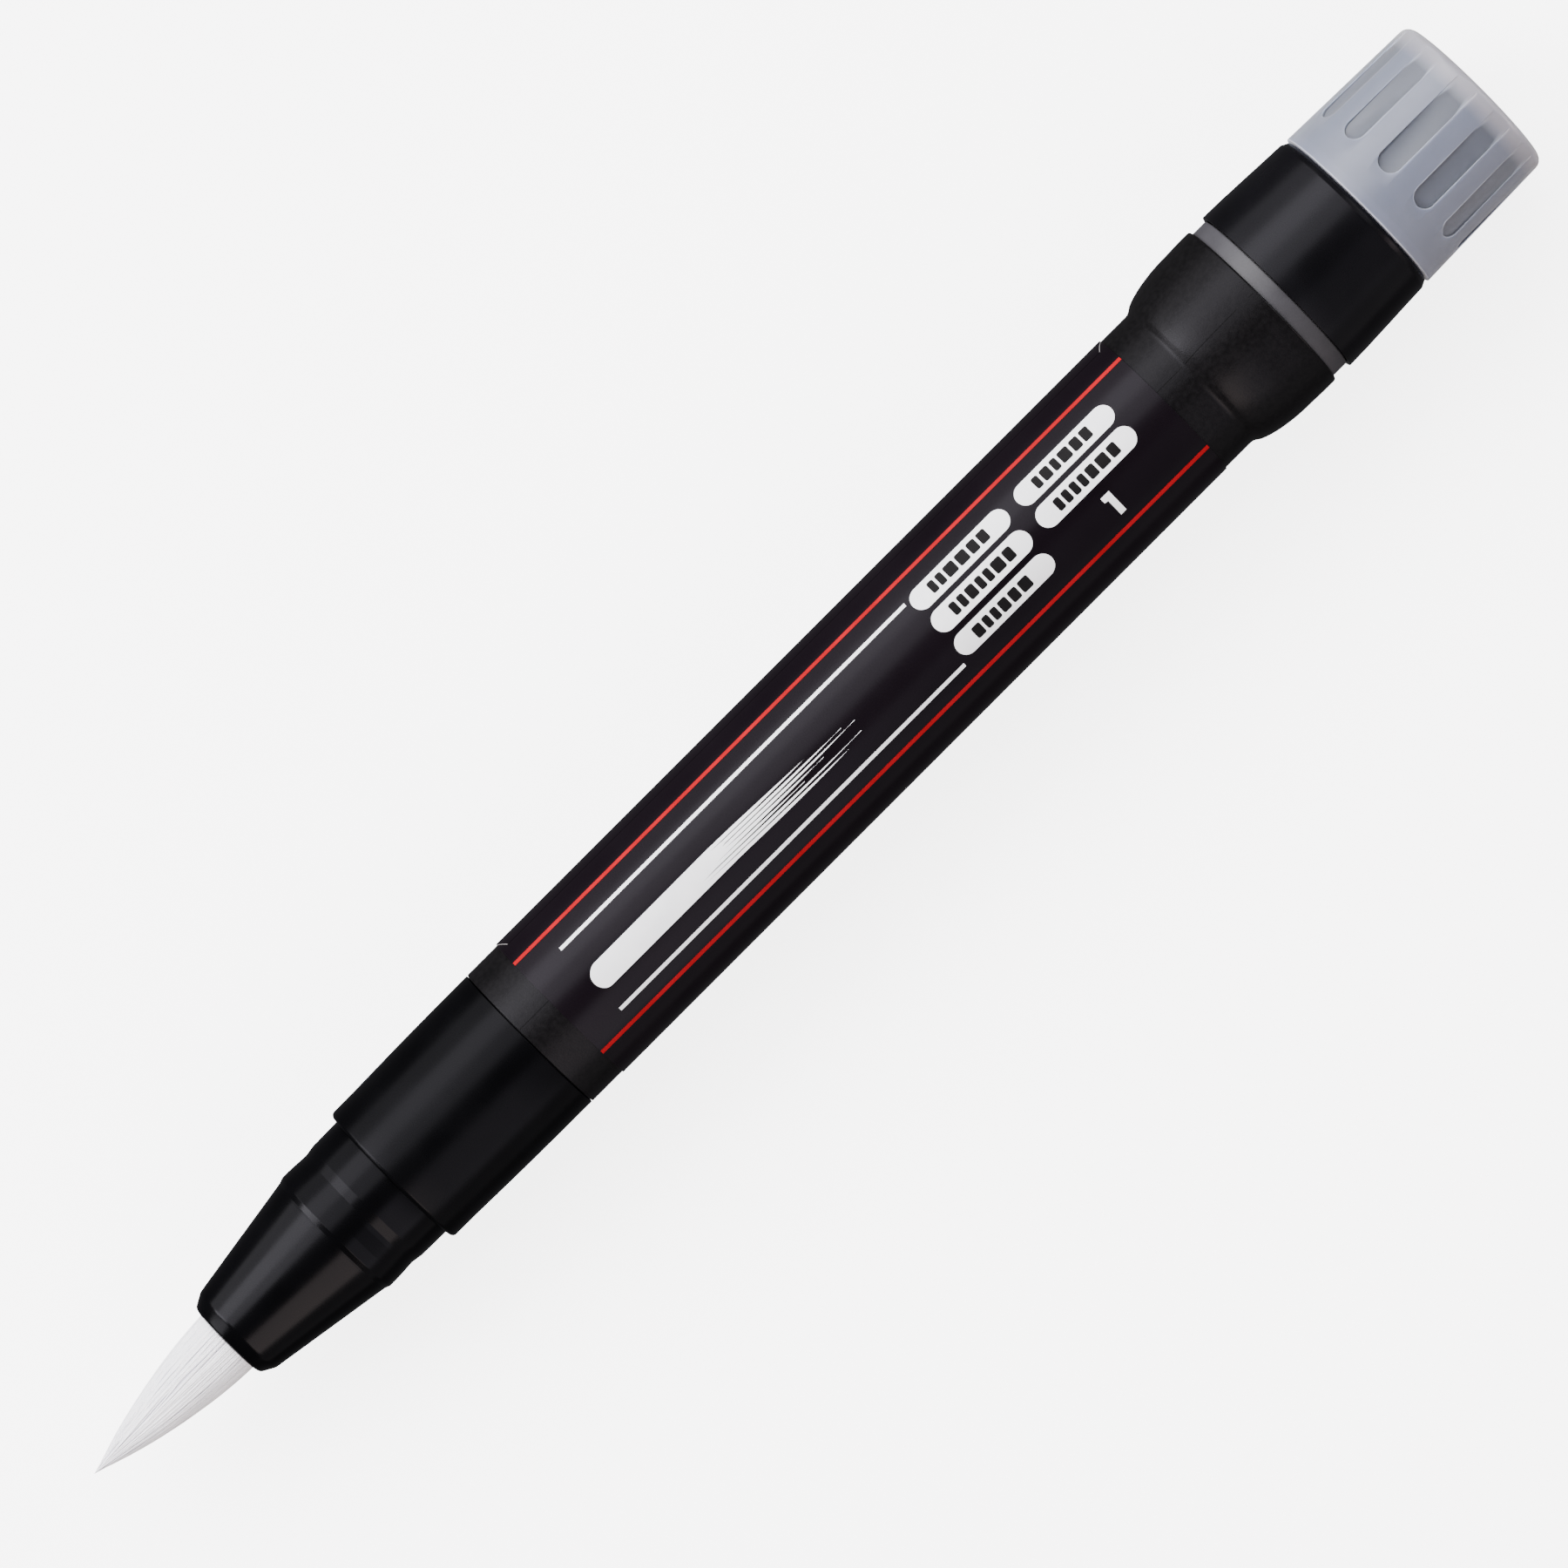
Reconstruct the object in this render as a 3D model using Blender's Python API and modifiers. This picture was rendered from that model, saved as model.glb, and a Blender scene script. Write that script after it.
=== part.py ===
"""Push-button brush pen, built as separate turned pieces on one axis.

The pen lies along X with its tail towards +X and rests on Z = 0, centred on the origin.
Stations are distances from the brush's point along the axis, and all sizes are in millimetres
until the meshes are made.
"""

import math

import bmesh
import bpy
from mathutils import Matrix

MM = 0.001
SEGMENTS = 32            # facets round the pen's outer pieces
SMALL_SEGMENTS = 16      # facets round slender inner pieces
KNOB_SEGMENTS = 36       # three facets for each flute's pitch
FIT = 0.05               # radial gap of a fitted or sliding joint
SKIN_GAP = 0.03          # gap under the label film
FACE_GAP = 0.1           # gap between faces that butt together

# Stations along the axis, from the brush's point to the knob's end
MOUTH = 16.3
CONE_END = 29.3
SHOULDER = 36.5
BARREL_FRONT = 53.45
LABEL_FRONT = 57.1
LABEL_REAR = 131.1
FLARE_START = 134.52
FLARE_END = 140.3
COLLAR_LIP = 143.3
SLEEVE_FRONT = 145.0
SPRING_WELL = 136.5
SPRING_REAR = 149.7
KNOB_FRONT = 151.8
SLEEVE_REAR = 154.95
KNOB_RIM = 155.1
LENGTH = 169.2

# Main radii
BARREL_R = 7.70
LABEL_R = 7.81
FLARE_RISE = 1.28
FLARE_POWER = 0.645
COLLAR_R = 9.03
SLEEVE_R = 9.06
TANK_R = 6.70
PLUG_R = 6.62            # plugs that fit in the tank
PLUG_GROOVE_R = 5.90     # floor of a plug's O-ring groove
SEAL_ORBIT = 6.28
SEAL_WIRE = 0.33
SPRING_WELL_R = 7.60     # wider bore round the return spring
SKIRT_R = 8.66
NECK_R = 6.73
BEAD_R = 6.64
GROOVE_R = 6.54
CONE_R = 6.43
CONE_TIP_R = 4.66
BRUSH_R = 3.25
BRUSH_TAPER = 18.0       # length over which the brush narrows to its point
ROD_R = 1.20
KNOB_TRAVEL = 1.35
SKIRT_FRONT = 141.1
COUNTERBORE = SKIRT_FRONT - KNOB_TRAVEL - 0.15   # floor of the collar's mouth, clear of the pushed skirt

# Flutes of the end knob
FLUTES = 12
FLUTE_WIDTH = 2.25
FLUTE_FLOOR_R = 8.20
FLUTE_START = 158.3
FLUTE_RUNOUT = 3.0       # how far a cutter passes the knob's end
FLUTE_TURN = -7.0        # degrees from the label's centre line to the nearest flute

# Mixing balls in the tank
BALL_R = 2.5
BALL_STATION = 80.0
BALL_SPREAD = 41.0       # degrees to either side of the lowest line
TANK_BORE_APOTHEM = TANK_R * math.cos(math.pi / SEGMENTS)
BALL_ORBIT = (ROD_R + TANK_BORE_APOTHEM) / 2

AXIS_HEIGHT = SLEEVE_R * math.cos(math.pi / SEGMENTS)


def clear_scene():
    for old in list(bpy.data.objects):
        bpy.data.objects.remove(old, do_unlink=True)


def collection(name):
    group = bpy.data.collections.new(name)
    bpy.context.scene.collection.children.link(group)
    return group


def empty(name, group, parent=None):
    frame = bpy.data.objects.new(name, None)
    frame.empty_display_size = 5 * MM
    frame.parent = parent
    group.objects.link(frame)
    return frame


def material(name, colour, roughness, metallic=0.0):
    made = bpy.data.materials.new(name)
    made.use_nodes = True
    shader = made.node_tree.nodes["Principled BSDF"]
    shader.inputs["Base Color"].default_value = (*colour, 1.0)
    shader.inputs["Roughness"].default_value = roughness
    shader.inputs["Metallic"].default_value = metallic
    return made


def place(name, data, finish, parent, group, station=0.0):
    """Put new data on the pen's axis, its origin at the given station."""
    piece = bpy.data.objects.new(name, data)
    piece.parent = parent
    piece.location = (0.0, 0.0, station * MM)
    data.materials.append(finish)
    group.objects.link(piece)
    return piece


def spin(name, outline, finish, parent, group, segments=SEGMENTS):
    """Turn an outline of (radius, station) points round the axis.

    The outline runs down its outer side from the tail, then up its inner side. One that starts
    and ends on the axis is left open there, and any other is closed into a ring.
    """
    front = min(station for _, station in outline)
    points = [(radius * MM, 0.0, (station - front) * MM) for radius, station in outline]
    edges = [(i, i + 1) for i in range(len(points) - 1)]
    if outline[0][0] > 0:
        edges.append((len(points) - 1, 0))
    mesh = bpy.data.meshes.new(name)
    mesh.from_pydata(points, edges, [])
    piece = place(name, mesh, finish, parent, group, front)
    # half a facet's turn lays a flat facet on the ground
    piece.rotation_euler.z = math.pi / segments
    screw = piece.modifiers.new("turn", "SCREW")
    screw.steps = segments
    screw.render_steps = segments
    screw.use_merge_vertices = True
    screw.merge_threshold = 1e-6
    screw.use_smooth_shade = True
    return piece


def ring(name, radii, stations, finish, parent, group, segments=SEGMENTS):
    inner, outer = radii
    front, rear = stations
    outline = [(outer, rear), (outer, front), (inner, front), (inner, rear)]
    return spin(name, outline, finish, parent, group, segments)


def o_ring(name, orbit, wire, station, finish, parent, group):
    bpy.ops.mesh.primitive_torus_add(
        major_radius=orbit * MM,
        minor_radius=wire * MM,
        major_segments=SEGMENTS,
        minor_segments=6,
    )
    seal = bpy.context.object
    seal.name = name
    for other in list(seal.users_collection):
        other.objects.unlink(seal)
    group.objects.link(seal)
    seal.parent = parent
    seal.location.z = station * MM
    seal.rotation_euler.z = math.pi / SEGMENTS
    seal.data.materials.append(finish)
    seal.data.shade_smooth()
    return seal


def spring(name, coil_r, wire_r, turns, stations, finish, parent, group):
    points_per_turn = 12
    front, rear = stations
    count = round(turns * points_per_turn) + 1
    curve = bpy.data.curves.new(name, "CURVE")
    curve.dimensions = "3D"
    curve.bevel_depth = wire_r * MM
    curve.bevel_resolution = 2
    curve.use_fill_caps = True
    line = curve.splines.new("POLY")
    line.points.add(count - 1)
    rise = rear - front - 2 * wire_r
    for i, point in enumerate(line.points):
        angle = 2 * math.pi * i / points_per_turn
        height = wire_r + rise * i / (count - 1)
        point.co = (coil_r * MM * math.cos(angle), coil_r * MM * math.sin(angle), height * MM, 1)
    return place(name, curve, finish, parent, group, front)


def cut(piece, cutter):
    boolean = piece.modifiers.new("cut", "BOOLEAN")
    boolean.operation = "DIFFERENCE"
    boolean.object = cutter


def cutter_object(name, bm, parent, group):
    mesh = bpy.data.meshes.new(name)
    bm.to_mesh(mesh)
    bm.free()
    tool = bpy.data.objects.new(name, mesh)
    tool.parent = parent
    tool.hide_render = True
    tool.display_type = "WIRE"
    group.objects.link(tool)
    return tool


def collar_radius(station):
    """The barrel's tail swells along a superellipse from the tube to the collar."""
    reach = (FLARE_END - station) / (FLARE_END - FLARE_START)
    return BARREL_R + FLARE_RISE * (1 - reach**2) ** FLARE_POWER


def brush_radius(station):
    """The wet brush's outline is a parabola that meets the axis at its point."""
    left = max(0.0, 1 - station / BRUSH_TAPER)
    return BRUSH_R * (1 - left**2)


def add_barrel(finish, parent, group):
    steps = 7
    flare = []
    for i in range(steps, 0, -1):
        station = FLARE_START + (FLARE_END - FLARE_START) * (i / steps) ** 1.6
        flare.append((collar_radius(station), station))
    outline = [(8.84, COLLAR_LIP), (9.00, COLLAR_LIP - 0.25), (COLLAR_R, COLLAR_LIP - 1.3)]
    outline += flare
    outline += [(BARREL_R, FLARE_START), (BARREL_R, BARREL_FRONT), (TANK_R, BARREL_FRONT)]
    outline += [(TANK_R, SPRING_WELL), (SPRING_WELL_R, SPRING_WELL), (SPRING_WELL_R, COUNTERBORE)]
    outline += [(SKIRT_R + FIT, COUNTERBORE), (SKIRT_R + FIT, COLLAR_LIP)]
    return spin("barrel", outline, finish, parent, group)


def add_label(finish, parent, group):
    radii = (BARREL_R + SKIN_GAP, LABEL_R)
    return ring("barrel_label", radii, (LABEL_FRONT, LABEL_REAR), finish, parent, group)


def add_front_section(finish, parent, group):
    shoulder = BARREL_FRONT - FACE_GAP
    outline = [
        (PLUG_R, 61.5), (PLUG_R, 58.9), (PLUG_GROOVE_R, 58.9), (PLUG_GROOVE_R, 57.5),
        (PLUG_R, 57.5), (PLUG_R, shoulder), (7.69, shoulder), (7.64, 45.0), (7.52, 38.4),
        (7.50, SHOULDER + 0.4), (7.38, SHOULDER + 0.1), (7.15, SHOULDER), (6.30, SHOULDER),
        (6.30, 47.0), (5.40, 47.0), (5.40, 61.5),
    ]
    return spin("front_section", outline, finish, parent, group)


def add_nozzle(finish, parent, group):
    neck_rear = SHOULDER - FACE_GAP
    outline = [
        (6.20, 46.0), (6.20, neck_rear), (NECK_R, neck_rear), (6.70, 33.8), (GROOVE_R, 32.5),
        (GROOVE_R, 32.0), (BEAD_R, 30.9), (BEAD_R, 29.75), (CONE_R, CONE_END),
        (CONE_TIP_R, MOUTH + 1.5), (3.93, MOUTH + 0.2), (3.75, MOUTH), (3.40, MOUTH),
        (3.40, 17.5), (4.05, 17.5), (4.05, 26.1), (5.10, 26.1), (5.10, 37.0), (1.60, 37.0),
        (1.60, 38.2), (4.90, 38.2), (4.90, 46.0),
    ]
    return spin("nozzle", outline, finish, parent, group)


def add_brush(finish, parent, group):
    """The tuft, with the blind bore that the feed core sits in."""
    steps = 9
    base = 22.5
    outline = [(0.0, 12.5), (0.95, 12.5), (0.95, base), (BRUSH_R, base)]
    for i in range(steps, -1, -1):
        station = BRUSH_TAPER * i / steps
        outline.append((brush_radius(station), station))
    return spin("brush_tuft", outline, finish, parent, group, SMALL_SEGMENTS)


def add_brush_mounting(finishes, parent, group):
    holder = [(5.0, 27.0), (5.0, 26.2), (4.0, 26.2), (4.0, 17.7), (3.4, 17.7), (3.4, 27.0)]
    spin("brush_holder", holder, finishes["resin"], parent, group)
    ring("tuft_anchor", (0.95, 3.25), (22.7, 25.0), finishes["resin"], parent, group, SMALL_SEGMENTS)
    ring("regulator_sponge", (0.95, 4.95), (27.2, 36.8), finishes["sponge"], parent, group)
    core = [(0.0, 39.0), (0.85, 39.0), (0.85, 13.0), (0.0, 13.0)]
    spin("feed_core", core, finishes["sponge"], parent, group, SMALL_SEGMENTS)


def add_valve(finishes, body, pusher, group):
    ring("valve_seat", (1.9, 5.35), (47.95, 53.0), finishes["resin"], body, group)
    ring("valve_gasket", (2.0, 3.2), (47.3, 47.85), finishes["rubber"], body, group, SMALL_SEGMENTS)
    ring("nozzle_gasket", (5.0, 6.15), (46.1, 46.9), finishes["rubber"], body, group)
    spring("valve_spring", 2.3, 0.22, 4, (38.4, 44.0), finishes["steel"], body, group)
    poppet = [
        (0.0, 45.2), (1.25, 45.2), (1.25, 47.2), (3.0, 47.2), (3.0, 44.2), (1.4, 44.2),
        (1.4, 42.0), (0.0, 42.0),
    ]
    spin("valve_poppet", poppet, finishes["resin"], pusher, group, SMALL_SEGMENTS)


def add_rod(finishes, pusher, group):
    rod = [(0.0, 154.6), (ROD_R, 154.6), (ROD_R, 45.4), (0.0, 45.4)]
    spin("push_rod", rod, finishes["steel"], pusher, group, SMALL_SEGMENTS)
    radii = (ROD_R + FIT, 2.6)
    ring("rod_stop_ring", radii, (125.9, 126.6), finishes["steel"], pusher, group, SMALL_SEGMENTS)


def add_rod_guide(finish, parent, group, cutters):
    """A disc that centres the rod, with four ports for the ink."""
    stations = (62.5, 64.5)
    port_r = 1.4
    bm = bmesh.new()
    for i in range(4):
        made = bmesh.ops.create_cone(
            bm, cap_ends=True, segments=8, radius1=port_r * MM, radius2=port_r * MM, depth=8 * MM
        )
        angle = math.radians(45 + 90 * i)
        centre = (4.1 * MM * math.cos(angle), 4.1 * MM * math.sin(angle), 63.5 * MM)
        bmesh.ops.translate(bm, verts=made["verts"], vec=centre)
    ports = cutter_object("port_cutter", bm, parent, cutters)
    guide = ring("rod_guide", (ROD_R + 0.1, PLUG_R), stations, finish, parent, group)
    cut(guide, ports)


def add_balls(finish, parent, group):
    for number, side in ((1, -1), (2, 1)):
        angle = math.radians(side * BALL_SPREAD)
        bm = bmesh.new()
        bmesh.ops.create_uvsphere(bm, u_segments=12, v_segments=8, radius=BALL_R * MM)
        mesh = bpy.data.meshes.new(f"mixing_ball_{number}")
        bm.to_mesh(mesh)
        bm.free()
        mesh.shade_smooth()
        ball = place(mesh.name, mesh, finish, parent, group, BALL_STATION)
        ball.location.x = BALL_ORBIT * MM * math.cos(angle)
        ball.location.y = BALL_ORBIT * MM * math.sin(angle)


def add_tail_plug(finishes, parent, group):
    """The bulkhead behind the tank, with its rod seal and O-ring."""
    plug = [
        (PLUG_R, 133.0), (PLUG_R, 130.7), (PLUG_GROOVE_R, 130.7), (PLUG_GROOVE_R, 129.3),
        (PLUG_R, 129.3), (PLUG_R, 127.0),
        (1.35, 127.0), (1.35, 131.0), (3.00, 131.0), (3.00, 133.0),
    ]
    spin("tail_plug", plug, finishes["resin"], parent, group)
    ring("rod_seal", (1.25, 2.85), (131.1, 132.8), finishes["rubber"], parent, group, SMALL_SEGMENTS)
    o_ring("tail_seal", SEAL_ORBIT, SEAL_WIRE, 130.0, finishes["rubber"], parent, group)
    o_ring("joint_seal", SEAL_ORBIT, SEAL_WIRE, 58.2, finishes["rubber"], parent, group)
    spring("return_spring", 4.6, 0.35, 6, (133.3, SPRING_REAR), finishes["steel"], parent, group)


def add_skirt(finish, parent, group):
    """The grey band that slides into the collar's mouth."""
    step = SLEEVE_FRONT - FACE_GAP
    outline = [
        (8.28, SPRING_REAR), (8.28, step), (SKIRT_R, step), (SKIRT_R, SKIRT_FRONT), (7.90, SKIRT_FRONT),
        (7.90, SPRING_REAR),
    ]
    return spin("plunger_skirt", outline, finish, parent, group)


def add_sleeve(finish, parent, group):
    outline = [
        (8.45, SLEEVE_REAR), (8.69, SLEEVE_REAR - 0.75), (8.89, 150.1), (9.02, 147.0),
        (SLEEVE_R, SLEEVE_FRONT + 0.4), (8.98, SLEEVE_FRONT), (8.36, SLEEVE_FRONT),
        (8.36, 151.6), (8.10, 151.6), (8.10, SLEEVE_REAR),
    ]
    return spin("knob_sleeve", outline, finish, parent, group)


def add_knob_core(finish, parent, group):
    """The spring's seat, with the hub that grips the push rod."""
    outline = [
        (0.0, 156.5), (2.3, 156.5), (2.3, 151.4), (8.25, 151.4), (8.25, 150.0), (2.3, 150.0),
        (2.3, 147.0), (1.3, 147.0), (1.3, 155.0), (0.0, 155.0),
    ]
    return spin("knob_core", outline, finish, parent, group)


def flute_cutter(parent, cutters):
    """Round-ended bars, one for each flute, that reach in to the flutes' floor."""
    half = FLUTE_WIDTH / 2
    thickness = 2.0
    bm = bmesh.new()
    for i in range(FLUTES):
        made = bmesh.ops.create_cone(
            bm, cap_ends=True, segments=12, radius1=half * MM, radius2=half * MM, depth=thickness * MM
        )
        verts = made["verts"]
        for vert in verts:
            if vert.co.x > 1e-7:
                vert.co.x += (LENGTH + FLUTE_RUNOUT - FLUTE_START) * MM
        # the bar's length turns onto the axis and its thickness onto the radius
        bmesh.ops.rotate(bm, verts=verts, matrix=Matrix.Rotation(math.radians(-90), 3, "Y"))
        reach = (FLUTE_FLOOR_R + thickness / 2) * MM
        bmesh.ops.translate(bm, verts=verts, vec=(reach, 0.0, (FLUTE_START + half) * MM))
        turn = math.radians(180 + FLUTE_TURN + 360 * i / FLUTES)
        bmesh.ops.rotate(bm, verts=verts, matrix=Matrix.Rotation(turn, 3, "Z"))
    return cutter_object("flute_cutter", bm, parent, cutters)


def add_knob(finish, parent, group, cutters):
    corner = 0.8
    corner_r = 8.33 - corner
    outline = [(0.0, LENGTH)]
    for i in range(4):
        angle = math.radians(90 - 30 * i)
        radius = corner_r + corner * math.cos(angle)
        outline.append((radius, LENGTH - corner + corner * math.sin(angle)))
    outline += [
        (8.42, 165.1), (8.55, 159.0), (8.58, 156.6), (8.66, KNOB_RIM + 0.2), (8.62, KNOB_RIM),
        (8.00, KNOB_RIM), (8.00, KNOB_FRONT), (7.30, KNOB_FRONT), (7.30, 167.9), (0.0, 167.9),
    ]
    knob = spin("end_knob", outline, finish, parent, group, KNOB_SEGMENTS)
    cut(knob, flute_cutter(parent, cutters))
    return knob


def build():
    clear_scene()
    group = collection("brush_pen")
    cutters = collection("cutters")
    matte = material("matte_black_moulding", (0.017, 0.018, 0.021), 0.55)
    satin = material("satin_black_film", (0.012, 0.009, 0.012), 0.32)
    gloss_front = material("gloss_black_front", (0.004, 0.004, 0.005), 0.18)
    gloss_nozzle = material("gloss_black_nozzle", (0.004, 0.004, 0.005), 0.16)
    gloss_sleeve = material("gloss_black_sleeve", (0.005, 0.005, 0.006), 0.22)
    grey = material("grey_band", (0.13, 0.13, 0.14), 0.35)
    frosted = material("frosted_knob", (0.40, 0.43, 0.50), 0.38)
    bristle = material("white_bristle", (0.83, 0.83, 0.86), 0.45)
    finishes = {
        "resin": material("natural_resin", (0.62, 0.62, 0.58), 0.4),
        "rubber": material("black_rubber", (0.02, 0.02, 0.02), 0.7),
        "sponge": material("felt_white", (0.75, 0.74, 0.70), 0.9),
        "steel": material("bright_steel", (0.60, 0.60, 0.62), 0.25, 1.0),
    }

    # the axis frame lays the pen down, so that its stations run along +X
    axis = empty("pen_axis", group)
    axis.location = (-LENGTH / 2 * MM, 0.0, AXIS_HEIGHT * MM)
    axis.rotation_euler.y = math.radians(90)
    pusher = empty("pusher_slide", group, axis)

    add_barrel(matte, axis, group)
    add_label(satin, axis, group)
    add_front_section(gloss_front, axis, group)
    add_nozzle(gloss_nozzle, axis, group)
    add_brush(bristle, axis, group)
    add_brush_mounting(finishes, axis, group)
    add_valve(finishes, axis, pusher, group)
    add_rod(finishes, pusher, group)
    add_rod_guide(finishes["resin"], axis, group, cutters)
    add_balls(finishes["steel"], axis, group)
    add_tail_plug(finishes, axis, group)
    add_skirt(grey, pusher, group)
    add_sleeve(gloss_sleeve, pusher, group)
    add_knob_core(finishes["resin"], pusher, group)
    add_knob(frosted, pusher, group, cutters)
    bpy.context.view_layer.update()


build()
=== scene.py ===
"""Looks of the push-button brush pen: fine surfaces, printed label, bristles and studio light.

Stations are millimetres along the pen from the brush's point, and radii are millimetres from its
axis. A label angle is in degrees round the axis, 0 at the top of the lying pen and positive
towards -Y.
"""

import math
import random

import bmesh
import bpy
from mathutils import Matrix, Vector


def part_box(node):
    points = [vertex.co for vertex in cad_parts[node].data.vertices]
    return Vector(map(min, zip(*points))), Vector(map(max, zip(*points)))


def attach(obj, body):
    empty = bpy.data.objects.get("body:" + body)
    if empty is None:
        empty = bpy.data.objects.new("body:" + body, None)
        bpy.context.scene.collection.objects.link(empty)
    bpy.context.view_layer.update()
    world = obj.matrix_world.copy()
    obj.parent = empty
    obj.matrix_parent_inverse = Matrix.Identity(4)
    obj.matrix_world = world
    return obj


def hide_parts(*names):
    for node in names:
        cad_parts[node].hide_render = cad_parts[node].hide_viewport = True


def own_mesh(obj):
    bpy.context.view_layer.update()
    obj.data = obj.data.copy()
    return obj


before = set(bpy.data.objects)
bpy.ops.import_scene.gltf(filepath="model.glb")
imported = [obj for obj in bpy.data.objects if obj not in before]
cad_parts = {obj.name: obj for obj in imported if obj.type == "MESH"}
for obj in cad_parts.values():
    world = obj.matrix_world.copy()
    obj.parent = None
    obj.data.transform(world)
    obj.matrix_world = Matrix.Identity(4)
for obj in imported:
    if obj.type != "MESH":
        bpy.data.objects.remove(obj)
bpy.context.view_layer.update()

# ---------------------------------------------------------------- places read from the frame
MM = 0.001
CAD_SEGMENTS = 32
POINT_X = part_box("brush_tuft")[0].x
AXIS_Z = sum(corner.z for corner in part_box("knob_sleeve")) / 2


def station(x):
    return (x - POINT_X) / MM


def span(node):
    """Front and rear stations of a CAD node."""
    low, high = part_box(node)
    return station(low.x), station(high.x)


def reach(node):
    """Outer radius of a turned CAD node, measured to its facets' corners."""
    low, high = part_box(node)
    return (high.y - low.y) / 2 / MM / math.cos(math.pi / CAD_SEGMENTS)


MOUTH = span("nozzle")[0]
SHOULDER = span("front_section")[0]
BARREL_FRONT, COLLAR_LIP = span("barrel")
LABEL_FRONT, LABEL_REAR = span("barrel_label")
SLEEVE_FRONT, SLEEVE_REAR = span("knob_sleeve")
KNOB_TENON, KNOB_END = span("end_knob")
SKIRT_FRONT, SKIRT_REAR = span("plunger_skirt")
LABEL_R = reach("barrel_label")
COLLAR_R = reach("barrel")
SLEEVE_R = reach("knob_sleeve")
SKIRT_R = reach("plunger_skirt")
NECK_R = reach("nozzle")
KNOB_RIM = SLEEVE_REAR

# ---------------------------------------------------------------- driving sizes
BARREL_R = 7.70
TANK_R = 6.70
PLUG_R = 6.62            # the front section's plug, which fits in the tank
SEAL_GROOVE_R = 5.90     # floor of the groove round that plug
SPRING_WELL = 136.5      # front of the wider bore round the return spring
SPRING_WELL_R = 7.60
KNOB_TRAVEL = 1.35
FACE_GAP = 0.1           # gap between faces that butt together
FILM_GAP = 0.03          # gap under the label film
SKIRT_GAP = 0.05         # gap round the skirt where it slides into the collar
BRUSH_R = 3.19
BRUSH_TAPER = 18.0       # length over which the brush narrows to its point

# The barrel's flare into the collar
FLARE_START = 134.52
FLARE_END = 140.3
FLARE_FOOT = FLARE_START + 0.5     # end of the fillet that softens its start
FLARE_RISE = 1.28
FLARE_POWER = 0.645

# The knob's outer skin, which narrows from SKIN_START to SKIN_END, and its flutes
SKIN_START = 157.2
SKIN_END = 167.6
SKIN_START_R = 8.60
SKIN_END_R = 8.36
FLUTES = 12
FLUTE_WIDTH = 2.25
FLUTE_FLOOR_R = 8.22
FLUTE_START = 158.3
FLUTE_RUNOUT = 3.0       # how far a cutter passes the knob's end
FLUTE_TURN = -7.0        # degrees from the label's centre line to the nearest flute

# Label angles
MOULD_ANGLE = -8.5
STRIPE_ANGLES = (-44.3, 42.3)
LINE_ANGLES = (-27.0, 28.6)
MARK_ANGLE = 4.5
ROW_ANGLES = (-22.3, -2.2, 18.6)
FIGURE_ANGLE = 23.0
SEAM_ANGLES = (-65.0, -79.0, -104.0)

ROUND = 144              # facets round a fine turned piece
PRINT_STEP = 0.25        # arc length of one facet of a printed shape
PRINT_LIFT = 0.004       # gap between the film and what is printed on it
SHARP_EDGE = math.radians(40)


# ---------------------------------------------------------------- materials
def shader_of(material):
    return material.node_tree.nodes["Principled BSDF"]


def new_material(slot, **sockets):
    """A material named after a slot of the record, or after an ink or edge that has no slot."""
    material = bpy.data.materials.new(f"fine_{slot}")
    material.use_nodes = True
    shader = shader_of(material)
    for key, value in sockets.items():
        shader.inputs[key.replace("_", " ")].default_value = value
    return material


def node(material, kind, **settings):
    made = material.node_tree.nodes.new(kind)
    for key, value in settings.items():
        setattr(made, key, value)
    return made


def link(material, source, target):
    material.node_tree.links.new(source, target)


def noise(material, size, detail=2.0, stretch=(1, 1, 1)):
    """Noise whose blobs measure about size millimetres, longer where stretch is below 1."""
    where = node(material, "ShaderNodeTexCoord")
    scaling = node(material, "ShaderNodeMapping")
    scaling.inputs["Scale"].default_value = stretch
    made = node(material, "ShaderNodeTexNoise")
    made.inputs["Scale"].default_value = 1 / (size * MM)
    made.inputs["Detail"].default_value = detail
    link(material, where.outputs["Object"], scaling.inputs["Vector"])
    link(material, scaling.outputs["Vector"], made.inputs["Vector"])
    return made.outputs["Fac"]


def spread(material, value, low, high, start=0.35, end=0.65):
    """Maps a value that runs from start to end onto low to high, and holds it there beyond them."""
    mapped = node(material, "ShaderNodeMapRange")
    mapped.inputs["From Min"].default_value = start
    mapped.inputs["From Max"].default_value = end
    mapped.inputs["To Min"].default_value = low
    mapped.inputs["To Max"].default_value = high
    link(material, value, mapped.inputs["Value"])
    return mapped.outputs["Result"]


def tint(material, value, dark, light):
    """Blends two colours by a value from 0 to 1."""
    mix = node(material, "ShaderNodeMix", data_type="RGBA")
    mix.inputs["A"].default_value = (*dark, 1)
    mix.inputs["B"].default_value = (*light, 1)
    link(material, value, mix.inputs["Factor"])
    return mix.outputs["Result"]


def blend(material, value, colour, other):
    """Blends a colour output towards a fixed colour by a value from 0 to 1."""
    mix = node(material, "ShaderNodeMix", data_type="RGBA")
    mix.inputs["B"].default_value = (*other, 1)
    link(material, colour, mix.inputs["A"])
    link(material, value, mix.inputs["Factor"])
    return mix.outputs["Result"]


def arithmetic(material, operation, first, second):
    """Combines two values."""
    made = node(material, "ShaderNodeMath", operation=operation)
    link(material, first, made.inputs[0])
    link(material, second, made.inputs[1])
    return made.outputs["Value"]


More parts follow.
